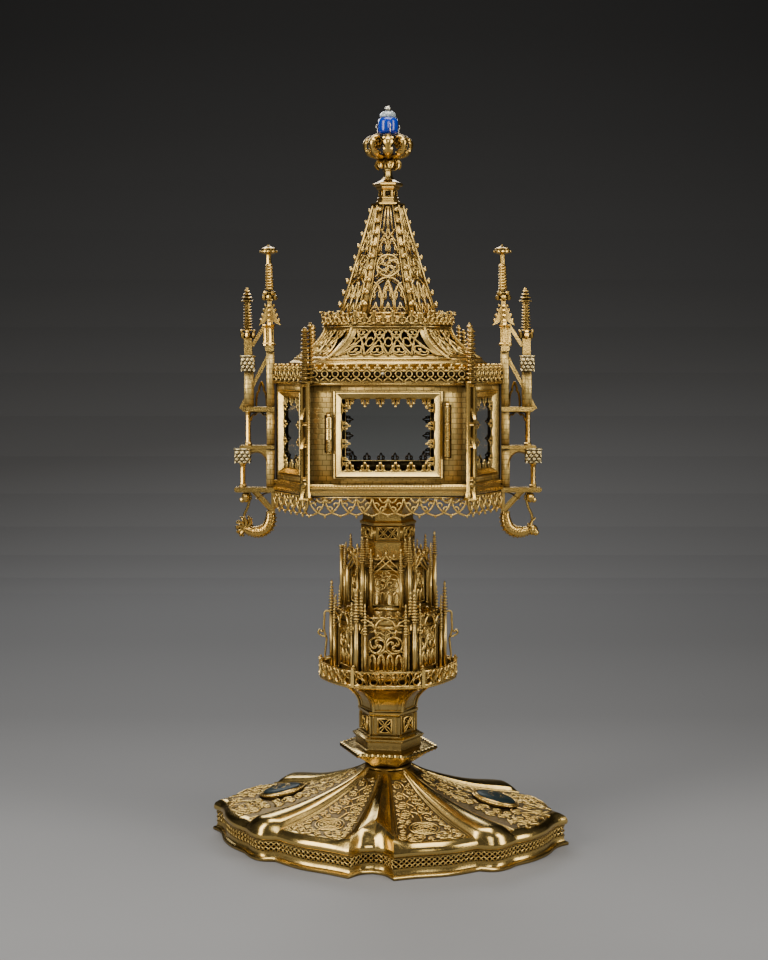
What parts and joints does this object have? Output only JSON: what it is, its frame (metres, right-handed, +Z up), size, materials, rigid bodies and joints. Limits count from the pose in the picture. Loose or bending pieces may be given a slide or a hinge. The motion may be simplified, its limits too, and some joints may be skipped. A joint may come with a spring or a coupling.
{
  "type": "tower monstrance",
  "caption": "Tall gilt monstrance: lobed foot, tabernacle knop, six-sided glazed tower with a hinged door, flying buttresses and pierced spire.",
  "frame": {"origin": "centre of the foot's underside", "axes": "+Z up along the stem, door facing -Y, flying buttresses along +X and -X"},
  "size_m": [0.2926, 0.202, 0.5996],
  "materials": {
    "gilt": "worn gilding over silver, satin",
    "dark_gilt": "gilding with dark tarnish",
    "silver": "bare silver, satin",
    "window_glass": "clear",
    "blue_glass": "polished deep blue",
    "grey_glass": "polished pale grey",
    "enamel": null
  },
  "bodies": {
    "monstrance": {"foot": "gilt", "stem_collar": "gilt", "lower_stem": "gilt", "knop_bowl": "gilt", "knop_floor": "gilt", "knop_lower_storey": "dark_gilt", "knop_upper_storey": "dark_gilt", "upper_stem": "gilt", "tower_base": "gilt", "hanging_crest": "gilt", "tower_walls": "gilt", "hinge_pin": "gilt", "latch_pin": "gilt", "gallery_crest": "gilt", "roof_deck": "gilt", "lower_roof": "gilt", "roof_crest": "gilt", "spire": "gilt", "finial_column": "gilt", "finial_neck": "gilt", "leaf_collar": "dark_gilt", "leaf_capital": "gilt", "corner_buttress_1": "gilt", "corner_buttress_2": "gilt", "corner_buttress_3": "gilt", "corner_buttress_4": "gilt", "flying_buttress_right": "gilt", "flying_buttress_left": "gilt", "dragon_right": "gilt", "dragon_left": "gilt", "silver_knob": "silver", "enamel_plaque_right": "enamel", "enamel_plaque_left": "enamel", "blue_bead": "blue_glass", "bead_cap": "grey_glass", "glass_back_right": "window_glass", "window_frame_back_right": "gilt", "glass_back": "window_glass", "window_frame_back": "gilt", "glass_back_left": "window_glass", "window_frame_back_left": "gilt", "glass_front_left": "window_glass", "window_frame_front_left": "gilt", "glass_front_right": "window_glass", "window_frame_front_right": "gilt"},
    "door": {"door_frame": "gilt", "door_glass": "window_glass"}
  },
  "joints": [
    {"name": "door_hinge", "type": "hinge", "parent": "monstrance", "child": "door", "pos_m": [0.0462, -0.0566, 0.3], "axis": [0, 0, 1], "range_deg": [0, 100]}
  ]
}
